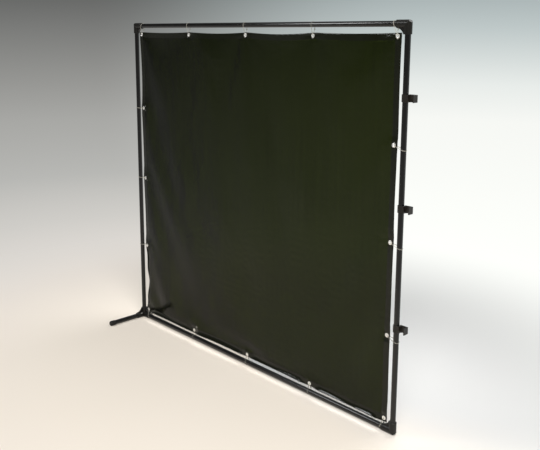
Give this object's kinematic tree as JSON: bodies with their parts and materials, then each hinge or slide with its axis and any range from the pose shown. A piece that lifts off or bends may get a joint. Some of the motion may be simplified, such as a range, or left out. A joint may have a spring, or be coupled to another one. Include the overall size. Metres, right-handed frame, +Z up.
{
  "type": "welding curtain screen",
  "caption": "Free-standing welding screen: tinted film curtain tied by grommets into a black tube frame with a cross foot at one end and link clips at the other.",
  "frame": {"origin": "on the floor, under the middle of the whole screen's box", "axes": "+X along the rails, from the cross foot to the link clips; -Y towards the front; +Z up"},
  "size_m": [1.9956, 0.51, 1.829],
  "materials": {
    "black_tube": "satin",
    "fitting_plastic": "satin",
    "cap_vinyl": "satin",
    "button_steel": "satin",
    "spring_steel": "satin",
    "clip_plastic": "satin",
    "tinted_film": "gloss",
    "doubled_film": "gloss",
    "grommet_nickel": "polished",
    "tie_nylon": "satin"
  },
  "bodies": {
    "frame": {"left_upright_tube": "black_tube", "right_upright_tube": "black_tube", "top_rail_tube": "black_tube", "bottom_rail_tube": "black_tube", "front_leg_tube": "black_tube", "rear_leg_tube": "black_tube", "foot_fitting": "fitting_plastic", "top_left_elbow": "fitting_plastic", "top_right_elbow": "fitting_plastic", "bottom_right_elbow": "fitting_plastic", "front_leg_cap": "cap_vinyl", "rear_leg_cap": "cap_vinyl", "top_left_rail_spring": "spring_steel", "top_left_upright_spring": "spring_steel", "top_right_rail_spring": "spring_steel", "top_right_upright_spring": "spring_steel", "bottom_right_rail_spring": "spring_steel", "bottom_right_upright_spring": "spring_steel", "foot_rail_spring": "spring_steel", "foot_upright_spring": "spring_steel", "front_leg_spring": "spring_steel", "rear_leg_spring": "spring_steel", "curtain": "tinted_film", "top_hem": "doubled_film", "bottom_hem": "doubled_film", "left_hem": "doubled_film", "right_hem": "doubled_film", "grommet_eyelets": "grommet_nickel", "grommet_washers": "grommet_nickel", "top_ties": "tie_nylon", "bottom_ties": "tie_nylon", "left_ties": "tie_nylon", "right_ties": "tie_nylon"},
    "top_left_rail_button": {"top_left_rail_button": "button_steel"},
    "top_left_upright_button": {"top_left_upright_button": "button_steel"},
    "top_right_rail_button": {"top_right_rail_button": "button_steel"},
    "top_right_upright_button": {"top_right_upright_button": "button_steel"},
    "bottom_right_rail_button": {"bottom_right_rail_button": "button_steel"},
    "bottom_right_upright_button": {"bottom_right_upright_button": "button_steel"},
    "foot_rail_button": {"foot_rail_button": "button_steel"},
    "foot_upright_button": {"foot_upright_button": "button_steel"},
    "front_leg_button": {"front_leg_button": "button_steel"},
    "rear_leg_button": {"rear_leg_button": "button_steel"},
    "top_link_clip": {"top_link_clip": "clip_plastic"},
    "middle_link_clip": {"middle_link_clip": "clip_plastic"},
    "bottom_link_clip": {"bottom_link_clip": "clip_plastic"}
  },
  "joints": [
    {"name": "top_clip_turn", "type": "hinge", "parent": "frame", "child": "top_link_clip", "pos_m": [0.94885, 0, 1.51], "axis": [0, 0, 1], "range_deg": [-135, 135]},
    {"name": "middle_clip_turn", "type": "hinge", "parent": "frame", "child": "middle_link_clip", "pos_m": [0.94885, 0, 1.04], "axis": [0, 0, 1], "range_deg": [-135, 135]},
    {"name": "bottom_clip_turn", "type": "hinge", "parent": "frame", "child": "bottom_link_clip", "pos_m": [0.94885, 0, 0.503], "axis": [0, 0, 1], "range_deg": [-135, 135]},
    {"name": "top_left_rail_button_press", "type": "slide", "parent": "frame", "child": "top_left_rail_button", "axis": [0, -1, 0], "range_m": [0, 0.0056], "stiffness_N_per_m": 2000, "deforming": ["top_left_rail_spring"]},
    {"name": "top_left_upright_button_press", "type": "slide", "parent": "frame", "child": "top_left_upright_button", "axis": [0, -1, 0], "range_m": [0, 0.0056], "stiffness_N_per_m": 2000, "deforming": ["top_left_upright_spring"]},
    {"name": "top_right_rail_button_press", "type": "slide", "parent": "frame", "child": "top_right_rail_button", "axis": [0, -1, 0], "range_m": [0, 0.0056], "stiffness_N_per_m": 2000, "deforming": ["top_right_rail_spring"]},
    {"name": "top_right_upright_button_press", "type": "slide", "parent": "frame", "child": "top_right_upright_button", "axis": [0, -1, 0], "range_m": [0, 0.0056], "stiffness_N_per_m": 2000, "deforming": ["top_right_upright_spring"]},
    {"name": "bottom_right_rail_button_press", "type": "slide", "parent": "frame", "child": "bottom_right_rail_button", "axis": [0, -1, 0], "range_m": [0, 0.0056], "stiffness_N_per_m": 2000, "deforming": ["bottom_right_rail_spring"]},
    {"name": "bottom_right_upright_button_press", "type": "slide", "parent": "frame", "child": "bottom_right_upright_button", "axis": [0, -1, 0], "range_m": [0, 0.0056], "stiffness_N_per_m": 2000, "deforming": ["bottom_right_upright_spring"]},
    {"name": "foot_rail_button_press", "type": "slide", "parent": "frame", "child": "foot_rail_button", "axis": [0, -1, 0], "range_m": [0, 0.0056], "stiffness_N_per_m": 2000, "deforming": ["foot_rail_spring"]},
    {"name": "foot_upright_button_press", "type": "slide", "parent": "frame", "child": "foot_upright_button", "axis": [1, 0, 0], "range_m": [0, 0.0056], "stiffness_N_per_m": 2000, "deforming": ["foot_upright_spring"]},
    {"name": "front_leg_button_press", "type": "slide", "parent": "frame", "child": "front_leg_button", "axis": [-0.7071, 0, -0.7071], "range_m": [0, 0.0056], "stiffness_N_per_m": 2000, "deforming": ["front_leg_spring"]},
    {"name": "rear_leg_button_press", "type": "slide", "parent": "frame", "child": "rear_leg_button", "axis": [-0.7071, 0, -0.7071], "range_m": [0, 0.0056], "stiffness_N_per_m": 2000, "deforming": ["rear_leg_spring"]}
  ]
}
